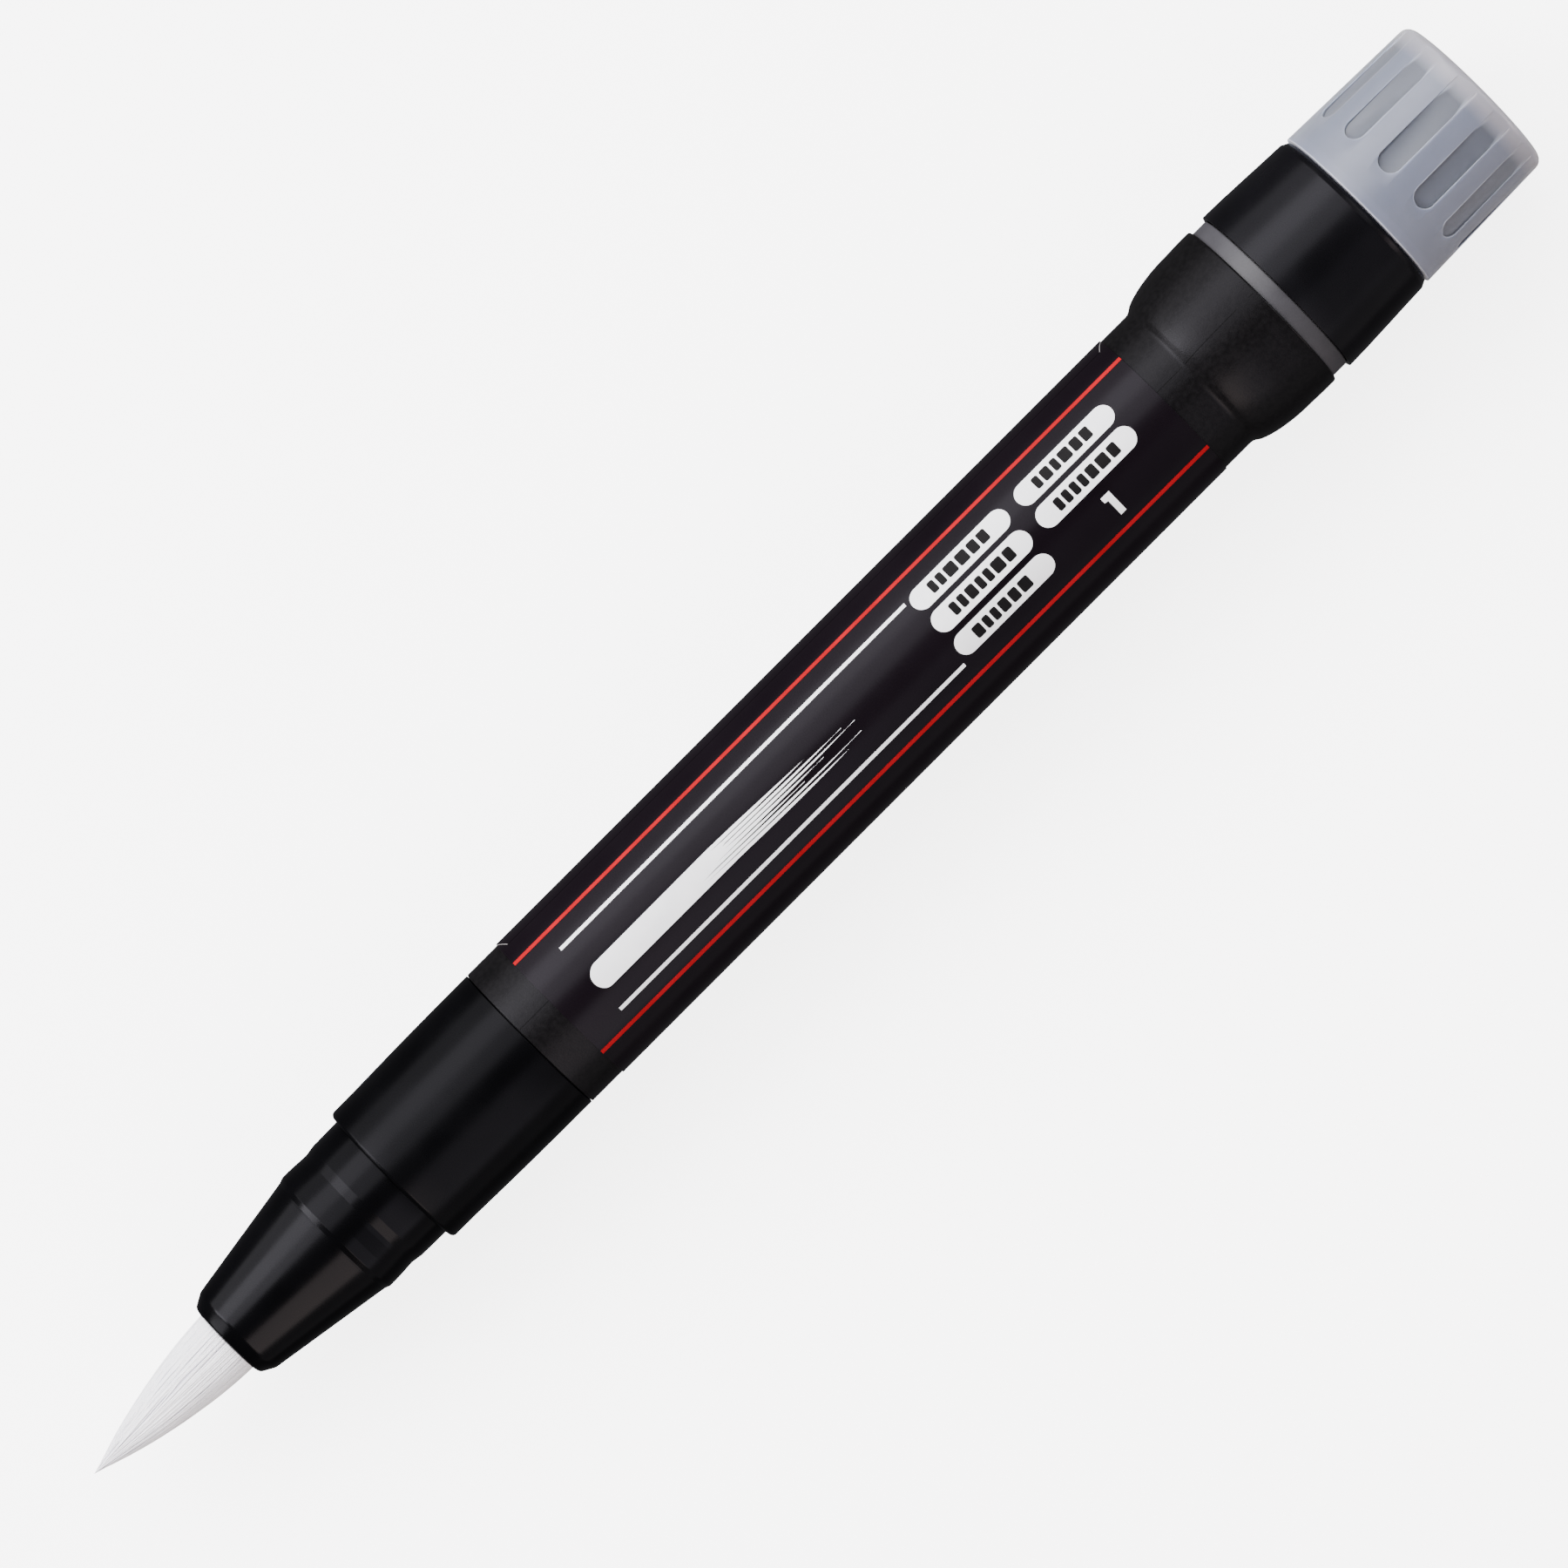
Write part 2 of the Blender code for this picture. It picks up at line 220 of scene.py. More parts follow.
def relief(material, value, height):
    """Bump of the given height in millimetres."""
    bump = node(material, "ShaderNodeBump")
    bump.inputs["Distance"].default_value = height * MM
    link(material, value, bump.inputs["Height"])
    link(material, bump.outputs["Normal"], shader_of(material).inputs["Normal"])


def vary(material, pattern, dark, light, rough):
    """Colour and roughness that vary together with a noise pattern."""
    shader = shader_of(material)
    colour = tint(material, spread(material, pattern, 0, 1), dark, light)
    link(material, colour, shader.inputs["Base Color"])
    link(material, spread(material, pattern, *rough), shader.inputs["Roughness"])


def plastic(name, dark, light, rough, grain, height, specular=0.5, patch=3.0, gloss=(1, 1, 1)):
    """Moulded or printed plastic.

    Its colour and roughness vary in patches of patch millimetres, and its grain is height deep.
    """
    material = new_material(name, Specular_IOR_Level=specular, Specular_Tint=(*gloss, 1))
    vary(material, noise(material, patch, 4.0), dark, light, rough)
    relief(material, noise(material, grain), height)
    return material


BLUISH = (0.92, 0.91, 1.0)
DEEP_BLACK = {"dark": (0.0009, 0.0009, 0.0011), "light": (0.0013, 0.0013, 0.0016)}

MATTE_BLACK = plastic(
    "matte_black_moulding", dark=(0.0026, 0.0024, 0.0026), light=(0.0042, 0.0039, 0.0042),
    rough=(0.30, 0.35), grain=0.13, height=0.010, specular=0.080, patch=0.45, gloss=BLUISH,
)
FILM_BLACK = plastic(
    "satin_black_film", dark=(0.0034, 0.0022, 0.0034), light=(0.0042, 0.0028, 0.0042),
    rough=(0.23, 0.27), grain=0.5, height=0.0004, specular=0.088, patch=9.0, gloss=BLUISH,
)
FRONT_BLACK = plastic(
    "gloss_black_front", **DEEP_BLACK,
    rough=(0.25, 0.29), grain=0.8, height=0.0004, specular=0.059, patch=6.0, gloss=BLUISH,
)
NOZZLE_BLACK = plastic(
    "gloss_black_nozzle", **DEEP_BLACK,
    rough=(0.20, 0.24), grain=0.8, height=0.0004, specular=0.066, patch=6.0, gloss=BLUISH,
)
SLEEVE_BLACK = plastic(
    "gloss_black_sleeve", dark=(0.0021, 0.0020, 0.0025), light=(0.0029, 0.0028, 0.0035),
    rough=(0.24, 0.28), grain=0.6, height=0.0005, specular=0.102, patch=6.0, gloss=BLUISH,
)
GREY = plastic(
    "grey_band", dark=(0.036, 0.035, 0.039), light=(0.043, 0.042, 0.047),
    rough=(0.34, 0.42), grain=0.2, height=0.002, specular=0.25,
)
RED_INK = plastic(
    "red_ink", dark=(0.28, 0.002, 0.006), light=(0.34, 0.003, 0.009),
    rough=(0.44, 0.52), grain=0.1, height=0.0010, specular=0.05,
)
WHITE_INK = plastic(
    "white_ink", dark=(0.84, 0.85, 0.88), light=(0.90, 0.91, 0.93),
    rough=(0.36, 0.44), grain=0.1, height=0.0012, specular=0.3,
)
DARK_INK = plastic(
    "dark_ink", dark=(0.0045, 0.0040, 0.0045), light=(0.0065, 0.0060, 0.0065),
    rough=(0.40, 0.50), grain=0.1, height=0.0010, specular=0.05,
)
# painted shade: a dark matte colour standing in for the shade in the mould's parting line
GROOVE_PAINTED_SHADE = plastic(
    "groove", dark=(0.0010, 0.0010, 0.0010), light=(0.0016, 0.0016, 0.0016),
    rough=(0.7, 0.8), grain=0.1, height=0.001, specular=0.05,
)
CUT_EDGE = plastic(
    "cut_edge", dark=(0.16, 0.15, 0.15), light=(0.22, 0.21, 0.21),
    rough=(0.40, 0.50), grain=0.1, height=0.001, specular=0.3,
)
RESIN = plastic(
    "natural_resin", dark=(0.52, 0.52, 0.48), light=(0.62, 0.62, 0.57),
    rough=(0.38, 0.50), grain=0.3, height=0.003,
)
RUBBER = plastic(
    "black_rubber", dark=(0.012, 0.012, 0.012), light=(0.022, 0.022, 0.022),
    rough=(0.62, 0.78), grain=0.2, height=0.006,
)


def steel_material():
    """Bright drawn wire and ground balls."""
    material = new_material("bright_steel", Metallic=1.0)
    streaks = noise(material, 0.4, 3.0, (1, 1, 0.2))
    vary(material, streaks, (0.48, 0.48, 0.50), (0.66, 0.66, 0.68), (0.16, 0.32))
    relief(material, streaks, 0.002)
    return material


def felt_material():
    """Bonded fibre of the ink feed, stained by white ink."""
    material = new_material("felt_white", Specular_IOR_Level=0.2, Sheen_Weight=0.3)
    fibres = noise(material, 0.12, 5.0, (1, 1, 0.08))
    vary(material, fibres, (0.60, 0.59, 0.56), (0.78, 0.77, 0.75), (0.80, 0.95))
    relief(material, fibres, 0.03)
    return material


def bristle_material(dark, light):
    """Wet nylon filament, streaked along its length: nearly white on the bristles, and grey on the tuft's
    core, where the grey is painted shade between the bristles.
    """
    material = new_material("white_bristle", Specular_IOR_Level=0.5)
    streaks = noise(material, 0.10, 3.0, (1, 1, 0.03))
    vary(material, streaks, dark, light, (0.30, 0.48))
    relief(material, streaks, 0.008)
    return material


FLUTE_GREY = (0.074, 0.083, 0.108)
LAND_GREY = (0.124, 0.138, 0.184)
# painted light: the pale grey of the flutes' walls and edges lifts the shade that the lamps cast into the
# flutes and draws light lines along their edges
WALL_PAINTED_LIGHT = (0.26, 0.285, 0.34)
BAND_GREY = (0.132, 0.146, 0.196)
RIM_GREY = (0.27, 0.28, 0.33)
# the end wall's pale grey is partly thicker plastic and partly painted light, standing in for light that
# shines through the end
END_GREY_AND_GLOW = (0.245, 0.240, 0.270)


def frosted_material():
    """Frosted polypropylene: darker in the flutes and paler on its rim, with painted light on the flutes'
    walls and edges, and an end wall that is paler partly as thicker plastic and partly as painted light
    shining through it.
    """
    material = new_material(
        "frosted_knob",
        Specular_IOR_Level=0.5,
        Subsurface_Weight=0.95,
        Subsurface_Radius=(1.2, 1.3, 1.5),
        Subsurface_Scale=MM,
        Sheen_Weight=0.35,
        Sheen_Roughness=0.5,
    )
    shader = shader_of(material)
    where = node(material, "ShaderNodeTexCoord")
    parts = node(material, "ShaderNodeSeparateXYZ")
    link(material, where.outputs["Object"], parts.inputs["Vector"])
    flat = node(material, "ShaderNodeCombineXYZ")
    link(material, parts.outputs["X"], flat.inputs["X"])
    link(material, parts.outputs["Y"], flat.inputs["Y"])
    radius = node(material, "ShaderNodeVectorMath", operation="LENGTH")
    link(material, flat.outputs["Vector"], radius.inputs[0])

    def along(low, high, start, end):
        """A value that goes from low to high between two stations."""
        return spread(material, parts.outputs["Z"], low, high, start * MM, end * MM)

    def below_skin(low, high, start, end):
        """A value that goes from low to high between two depths under the knob's skin."""
        return spread(material, depth, low, high, start * MM, end * MM)

    skin = along(SKIN_START_R * MM, SKIN_END_R * MM, SKIN_START, SKIN_END)
    depth = arithmetic(material, "SUBTRACT", skin, radius.outputs["Value"])
    land = below_skin(1, 0, 0.08, 0.11)
    # painted light on the flutes' walls and on the edges of the lands
    wall = arithmetic(material, "MULTIPLY", below_skin(0, 1, 0.02, 0.05), land)
    # the end wall turns paler: thicker plastic, and painted light for light shining through it
    end_wall = along(0, 1, KNOB_END - 2.2, KNOB_END - 0.8)
    colour = tint(material, arithmetic(material, "MAXIMUM", land, end_wall), FLUTE_GREY, LAND_GREY)
    for mask, grey in (
        (wall, WALL_PAINTED_LIGHT),
        (along(1, 0, KNOB_RIM + 0.85, KNOB_RIM + 1.05), BAND_GREY),
        (along(1, 0, KNOB_RIM + 0.06, KNOB_RIM + 0.13), RIM_GREY),
        (end_wall, END_GREY_AND_GLOW),
    ):
        colour = blend(material, mask, colour, grey)
    link(material, colour, shader.inputs["Base Color"])
    cloud = noise(material, 1.5, 4.0)
    link(material, spread(material, cloud, 0.30, 0.40), shader.inputs["Roughness"])
    relief(material, noise(material, 0.12), 0.003)
    return material


# ---------------------------------------------------------------- shapes
def on_axis(name, mesh, material, body, *nodes):
    """A piece whose local Z runs along the pen from the brush's point."""
    piece = bpy.data.objects.new(name, mesh)
    piece.location = (POINT_X, 0.0, AXIS_Z)
    piece.rotation_euler = (0.0, math.radians(90), 0.0)
    bpy.context.scene.collection.objects.link(piece)
    mesh.materials.append(material)
    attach(piece, body)
    if nodes:
        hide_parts(*nodes)
    return piece


def rounded(corners, steps=5):
    """Replaces each (radius, station, rounding) corner of an outline by an arc."""
    points = [Vector(corner[:2]) for corner in corners]
    outline = []
    for i, corner in enumerate(corners):
        rounding = corner[2] if len(corner) > 2 else 0
        here = points[i]
        if not rounding:
            outline.append(tuple(here))
            continue
        before = (points[i - 1] - here).normalized()
        after = (points[(i + 1) % len(points)] - here).normalized()
        half = before.angle(after) / 2
        middle = here + (before + after).normalized() * (rounding / math.sin(half))
        start = here + before * (rounding / math.tan(half)) - middle
        sweep = start.angle_signed(here + after * (rounding / math.tan(half)) - middle)
        for k in range(steps + 1):
            turn = Matrix.Rotation(-sweep * k / steps, 2)
            outline.append(tuple(middle + turn @ start))
    return outline


def turned_mesh(name, outline, segments=ROUND):
    """Spins an outline about local Z. It is closed into a ring unless it starts on the axis."""
    bm = bmesh.new()
    verts = [bm.verts.new((r * MM, 0.0, s * MM)) for r, s in outline]
    edges = [bm.edges.new(pair) for pair in zip(verts, verts[1:])]
    if outline[0][0] > 0:
        edges.append(bm.edges.new((verts[-1], verts[0])))
    bmesh.ops.spin(
        bm, geom=verts + edges, cent=(0, 0, 0), axis=(0, 0, 1), angle=2 * math.pi, steps=segments
    )
    bmesh.ops.remove_doubles(bm, verts=bm.verts, dist=1e-7)
    bmesh.ops.recalc_face_normals(bm, faces=bm.faces)
    mesh = bpy.data.meshes.new(name)
    bm.to_mesh(mesh)
    bm.free()
    mesh.shade_smooth()
    mesh.set_sharp_from_angle(angle=SHARP_EDGE)
    return mesh


def turned(name, corners, material, body, *nodes):
    """A turned piece from the corners of its outline."""
    return on_axis(name, turned_mesh(name, rounded(corners)), material, body, *nodes)


def collar_radius(place):
    """The barrel's tail swells along a superellipse from the tube to the collar."""
    share = (FLARE_END - place) / (FLARE_END - FLARE_START)
    return BARREL_R + FLARE_RISE * max(0.0, 1 - share**2) ** FLARE_POWER


def brush_radius(place):
    left = max(0.0, 1 - place / BRUSH_TAPER)
    return BRUSH_R * (1 - left**2)


# ---------------------------------------------------------------- barrel and label
def flare_profile(start, steps, crowding):
    """Points of the flare from start to its end, crowded towards start where it bends most."""
    places = [start + (FLARE_END - start) * (i / steps) ** crowding for i in range(1, steps + 1)]
    return [(collar_radius(place), place) for place in places]


def barrel_corners():
    mouth_r = SKIRT_R + SKIRT_GAP
    counterbore = SKIRT_FRONT - KNOB_TRAVEL - 0.15
    lip = [(mouth_r, COLLAR_LIP, 0.04), (COLLAR_R, COLLAR_LIP, 0.26), (COLLAR_R, COLLAR_LIP - 1.4)]
    flare = flare_profile(FLARE_FOOT, 24, 1.4)[::-1]
    foot = [(collar_radius(FLARE_FOOT), FLARE_FOOT), (BARREL_R, FLARE_START - 0.1, 1.0)]
    front = [(BARREL_R, BARREL_FRONT, 0.08), (TANK_R, BARREL_FRONT)]
    bore = [
        (TANK_R, SPRING_WELL), (SPRING_WELL_R, SPRING_WELL), (SPRING_WELL_R, counterbore),
        (mouth_r, counterbore),
    ]
    return lip + flare + foot + front + bore


def mould_line(name, places, angle):
    """The fine line that the two halves of the mould leave along the barrel: a bead barely proud of it, whose
    dark matte colour is painted shade of the parting line's groove.
    """
    bead = 0.035
    sunk = 0.7 * bead
    curve = bpy.data.curves.new(name, "CURVE")
    curve.dimensions = "3D"
    curve.bevel_depth = bead * MM
    curve.bevel_resolution = 2
    curve.use_fill_caps = True
    line = curve.splines.new("POLY")
    line.points.add(len(places) - 1)
    theta = math.radians(180 + angle)
    for point, (radius, place) in zip(line.points, places):
        middle = (radius - sunk) * MM
        point.co = (middle * math.cos(theta), middle * math.sin(theta), place * MM, 1)
    return on_axis(name, curve, GROOVE_PAINTED_SHADE, "pen_body")


def add_barrel():
    turned("barrel_shell", barrel_corners(), MATTE_BLACK, "pen_body", "barrel")
    front_band = [(BARREL_R, BARREL_FRONT + 0.1), (BARREL_R, LABEL_FRONT - 0.02)]
    tail = [(BARREL_R, LABEL_REAR + 0.02), (BARREL_R, FLARE_START)]
    tail += flare_profile(FLARE_START, 14, 1.6)
    tail.append((COLLAR_R, COLLAR_LIP - 0.35))
    for side, angle in (("top", MOULD_ANGLE), ("bottom", MOULD_ANGLE + 180)):
        mould_line(f"mould_line_front_{side}", front_band, angle)
        mould_line(f"mould_line_tail_{side}", tail, angle)


def wrapped(name, loops, material, lift=PRINT_LIFT, thickness=0.02):
    """Flat printed outlines of (station, height up the label) points, wrapped onto the film.

    They are cut across at every facet before they are bent, so that they follow the film's round.
    """
    bm = bmesh.new()
    for loop in loops:
        bm.faces.new([bm.verts.new((along, up, 0)) for along, up in loop])
    low = min(vert.co.y for vert in bm.verts)
    high = max(vert.co.y for vert in bm.verts)
    cuts = int((high - low) / PRINT_STEP)
    for i in range(1, cuts + 1):
        level = low + (high - low) * i / (cuts + 1)
        everything = bm.verts[:] + bm.edges[:] + bm.faces[:]
        bmesh.ops.bisect_plane(bm, geom=everything, dist=1e-5, plane_co=(0, level, 0), plane_no=(0, 1, 0))
    bmesh.ops.triangulate(bm, faces=bm.faces)
    raised = bmesh.ops.extrude_face_region(bm, geom=bm.faces[:])["geom"]
    for vert in raised:
        if isinstance(vert, bmesh.types.BMVert):
            vert.co.z = thickness
    for vert in bm.verts:
        radius = (LABEL_R + lift + vert.co.z) * MM
        angle = vert.co.y / LABEL_R
        vert.co = (-radius * math.cos(angle), radius * math.sin(angle), vert.co.x * MM)
    bmesh.ops.recalc_face_normals(bm, faces=bm.faces)
    mesh = bpy.data.meshes.new(name)
    bm.to_mesh(mesh)
    bm.free()
    return on_axis(name, mesh, material, "pen_body")


def bar(start, end, up, height, rounding=0.0, steps=8):
    """A printed bar, with square or rounded corners."""
    if not rounding:
        low, high = up - height / 2, up + height / 2
        return [(start, low), (end, low), (end, high), (start, high)]
    points = []
    straight = height / 2 - rounding
    corners = (
        (end - rounding, up - straight, -90), (end - rounding, up + straight, 0),
        (start + rounding, up + straight, 90), (start + rounding, up - straight, 180),
    )
    for along, across, first in corners:
        for i in range(steps + 1):
            angle = math.radians(first + 90 * i / steps)
            points.append((along + rounding * math.cos(angle), across + rounding * math.sin(angle)))
    return points


def up_label(angle):
    """Height up the label of an angle round it."""
    return -math.radians(angle) * LABEL_R


def painted_stroke(start, up, height, body=19.0, streaks=7, steps=9, blunt_steps=30):
    """A painted stroke: blunt at first, with a tail that breaks up into dry streaks."""
    chance = random.Random(12)
    gap = 0.07
    share = height / streaks

    def bend(along):
        return up + 0.16 * math.sin((along - start) / 6.0)

    outline = []
    for i in range(streaks):
        low = -height / 2 + share * i
        high = low + share
        below = gap / 2 if i else 0
        above = gap / 2 if i < streaks - 1 else 0
        tip = start + body + 6.0 + 10.0 * chance.random()
        root = start + body * (0.62 + 0.38 * chance.random())
        lower, upper = [], []
        for k in range(steps + 1):
            along = root + (tip - root) * k / steps
            thin = (k / steps) ** 2.2 * share * 0.46
            lower.append((along, bend(along) + low + below + thin))
            upper.append((along, bend(along) + high - above - thin))
        outline += lower + upper[::-1]
    for i in range(blunt_steps + 1):
        angle = math.pi * (0.5 + i / blunt_steps)
        along = start + height / 2 * (1 + math.cos(angle))
        rise = height / 2 * math.sin(angle) * (1 + 0.02 * math.sin(5 * angle))
        outline.append((along, bend(along) + rise))
    return outline


def figure_one(start, up, height=2.4, width=1.0, stem_width=0.63):
    """The figure 1: a stem with a short flag."""
    right = start + width
    stem = right - stem_width
    low, high = up - height / 2, up + height / 2
    return [
        (stem, low), (right, low), (right, high), (start, high), (start, high - 0.55), (stem, high - 0.62),
    ]


def add_film():
    edge = 0.03
    inner = BARREL_R + FILM_GAP
    corners = [
        (LABEL_R, LABEL_REAR, edge), (LABEL_R, LABEL_FRONT, edge), (inner, LABEL_FRONT), (inner, LABEL_REAR),
    ]
    turned("label_film", corners, FILM_BLACK, "pen_body", "barrel_label")


def add_film_overlap():
    """The film's free edge, with its two corners cut off and the cuts showing pale."""
    near, middle, far = (up_label(angle) for angle in SEAM_ANGLES)
    front, rear = LABEL_FRONT + 0.02, LABEL_REAR - 0.02
    cut, width = 0.75, 0.07
    lap = [
        (front, far), (front, middle), (front + cut, near),
        (rear - cut, near), (rear, middle), (rear, far),
    ]
    wrapped("film_overlap", [lap], FILM_BLACK)
    for side, edge, inward in (("front", front, 1), ("rear", rear, -1)):
        inner = edge + inward * cut
        step = inward * width
        corner = [(edge, middle), (inner, near), (inner + step, near), (edge + step, middle)]
        wrapped(f"film_corner_{side}", [corner], CUT_EDGE, lift=0.01, thickness=0.03)


def add_stripes():
    margin = 0.03
    stripes = [bar(LABEL_FRONT + margin, LABEL_REAR - margin, up_label(a), 0.42) for a in STRIPE_ANGLES]
    wrapped("red_stripes", stripes, RED_INK)


def add_mark():
    """Two white lines with a painted stroke between them."""
    start = LABEL_FRONT + 3.8
    lines = [bar(start, start + 42.0, up_label(a), 0.35) for a in LINE_ANGLES]
    wrapped("white_lines", lines, WHITE_INK)
    wrapped("brush_mark", [painted_stroke(start, up_label(MARK_ANGLE), 2.45)], WHITE_INK)


def add_pills():
    """Two columns of white pills, each with a row of plain dark blocks in place of a word."""
    length, height, rounding = 11.45, 2.22, 1.10
    word_start, word_end = 2.1, 9.5
    shortest, gap = 0.6, 0.26
    rows = [up_label(angle) for angle in ROW_ANGLES]
    columns = [(LABEL_REAR - 15.15, rows[:2]), (LABEL_REAR - 27.85, rows)]
    pills, blocks = [], []
    chance = random.Random(4)
    for start, ups in columns:
        for up in ups:
            pills.append(bar(start, start + length, up, height, rounding))
            along = start + word_start
            while along < start + word_end - shortest:
                width = chance.choice((0.7, 0.95, 1.15))
                blocks.append(bar(along, min(along + width, start + word_end), up, 1.2, 0.18, 3))
                along += width + gap
    wrapped("colour_pills", pills, WHITE_INK)
    wrapped("pill_blocks", blocks, DARK_INK, lift=3 * PRINT_LIFT)


def add_figure():
    wrapped("line_width_figure", [figure_one(LABEL_REAR - 9.9, up_label(FIGURE_ANGLE))], WHITE_INK)


# ---------------------------------------------------------------- front end
def add_front():
    shoulder = BARREL_FRONT - FACE_GAP
    outside = [
        (7.69, shoulder, 0.07), (7.68, 49.0), (7.64, 45.0), (7.58, 41.8), (7.53, 39.5),
        (7.51, SHOULDER, 0.42), (NECK_R + 0.06, SHOULDER, 0.05), (6.30, SHOULDER + 0.3),
    ]
    bore = [(6.30, 47.0), (5.40, 47.0), (5.40, 61.5)]
    plug = [
        (PLUG_R, 61.5), (PLUG_R, 58.9), (SEAL_GROOVE_R, 58.9), (SEAL_GROOVE_R, 57.5), (PLUG_R, 57.5),
        (PLUG_R, shoulder),
    ]
    turned("front_section_shell", outside + bore + plug, FRONT_BLACK, "pen_body", "front_section")


def add_nozzle():
    rear = SHOULDER - 0.02
    neck = [(NECK_R, rear, 0.03), (6.71, 34.6, 1.0), (6.69, 33.5, 0.5), (6.54, 32.55, 0.4), (6.55, 32.1, 0.4)]
    bead = [(6.63, 30.8, 0.5), (6.64, 29.68, 0.20), (6.44, 29.18, 0.08)]
    cone = [(6.42, 29.0, 0.2), (4.65, 17.68, 1.2), (3.96, MOUTH + 0.15, 0.5), (3.40, MOUTH, 0.12)]
    holder_bore = [(3.40, 17.5), (4.05, 17.5), (4.05, 26.1), (5.10, 26.1), (5.10, 37.0), (1.60, 37.0)]
    valve_bore = [(1.60, 38.2), (4.90, 38.2), (4.90, 46.0), (6.20, 46.0), (6.20, rear)]
    corners = neck + bead + cone + holder_bore + valve_bore
    turned("nozzle_shell", corners, NOZZLE_BLACK, "pen_body", "nozzle")


# ---------------------------------------------------------------- brush
def tuft_centre(place):
    """The tuft's middle line leans a little to -Y halfway along, as wet bristles do."""
    return -0.05 * math.sin(math.pi * min(1.0, place / BRUSH_TAPER))


def add_tuft_core(material):
    """The wet mass of the tuft, grooved lengthwise by its bristles. Its grey is painted shade that shows in
    the gaps between the bristles.
    """
    base, bore, bore_end = 22.5, 0.95, 12.5
    outline = [(0.0, bore_end), (bore, bore_end), (bore, base), (BRUSH_R - 0.12, base)]
    steps = 40
    for i in range(steps, 0, -1):
        place = BRUSH_TAPER * (i / steps) ** 1.3 + 0.12
        outline.append((max(0.0, brush_radius(place) - 0.14), place))
    outline.append((0.0, 0.5))
    mesh = turned_mesh("tuft_core", outline)
    chance = random.Random(7)
    waves = [
        (chance.randint(9, 60), chance.random() * 6.3, 0.01 + chance.random() * 0.03)
        for _ in range(9)
    ]
    for vert in mesh.vertices:
        radius = math.hypot(vert.co.x, vert.co.y)
        place = vert.co.z / MM
        if radius > 1.2 * bore * MM or place < bore_end:
            angle = math.atan2(vert.co.y, vert.co.x)
            ripple = sum(size * math.sin(count * angle + phase) for count, phase, size in waves)
            grow = 1 + 0.6 * ripple * MM * min(1.0, place / 6) / max(radius, MM)
            vert.co.x *= grow
            vert.co.y = vert.co.y * grow + tuft_centre(place) * MM
    on_axis("tuft_core", mesh, material, "pen_body", "brush_tuft")


def add_bristles(material, locks=60, per_lock=7):
    """Locks of bristles that lie along the tuft's skin and gather into its point.

    Each lock drifts round the tuft and stops short of its point by its own amount. A few bristles stray
    from their lock and stand a little proud.
    """
    chance = random.Random(11)
    curve = bpy.data.curves.new("bristles", "CURVE")
    curve.dimensions = "3D"
    curve.bevel_depth = MM
    curve.bevel_resolution = 1
    curve.use_fill_caps = True
    root = MOUTH + 1.1
    steps = 16
    for lock in range(locks):
        lock_angle = 2 * math.pi * (lock + 0.6 * chance.random()) / locks
        lock_drift = chance.gauss(0, 0.10)
        lock_tip = 0.1 + 7.0 * chance.random() ** 2.0
        for _ in range(per_lock):
            angle = lock_angle + chance.gauss(0, 0.034)
            stray = chance.random() < 0.05
            tip = max(0.02, lock_tip + chance.gauss(0, 0.7))
            depth = abs(chance.gauss(0, 0.07)) - (0.05 if stray else 0.0)
            drift = lock_drift + chance.gauss(0, 0.22 if stray else 0.03)
            sway = chance.gauss(0, 0.04)
            thick = 0.055 + 0.035 * chance.random()
            line = curve.splines.new("POLY")
            line.points.add(steps)
            for k, point in enumerate(line.points):
                share = k / steps
                place = root + (tip - root) * share
                radius = max(0.0, brush_radius(place) - thick - depth * min(1.0, place / 4))
                turn = angle + drift * share + sway * math.sin(3.0 * share * math.pi) * share
                across = radius * math.sin(turn) + tuft_centre(place)
                point.co = (radius * MM * math.cos(turn), across * MM, place * MM, 1)
                point.radius = thick * (1 - 0.75 * share**3)
    on_axis("bristles", curve, material, "pen_body")


# ---------------------------------------------------------------- push knob
def add_skirt():
    step = SLEEVE_FRONT - FACE_GAP
    inner, tenon = 7.90, 8.28
    corners = [
        (SKIRT_R, step, 0.03), (SKIRT_R, SKIRT_FRONT, 0.1), (inner, SKIRT_FRONT), (inner, SKIRT_REAR),
        (tenon, SKIRT_REAR), (tenon, step),
    ]
    turned("grey_skirt", corners, GREY, "pusher", "plunger_skirt")


def add_sleeve():
    rear = SLEEVE_REAR - 0.11
    bore, tenon_bore, step = 8.36, 8.10, 151.6
    outside = [
        (bore, rear, 0.06), (8.71, SLEEVE_REAR - 0.78, 0.20), (8.79, 152.2), (8.89, 150.1), (8.96, 148.4),
        (9.02, 147.0), (SLEEVE_R, SLEEVE_FRONT, 0.04),
    ]
    inside = [(bore, SLEEVE_FRONT), (bore, step), (tenon_bore, step), (tenon_bore, rear)]
    turned("sleeve_shell", outside + inside, SLEEVE_BLACK, "pusher", "knob_sleeve")


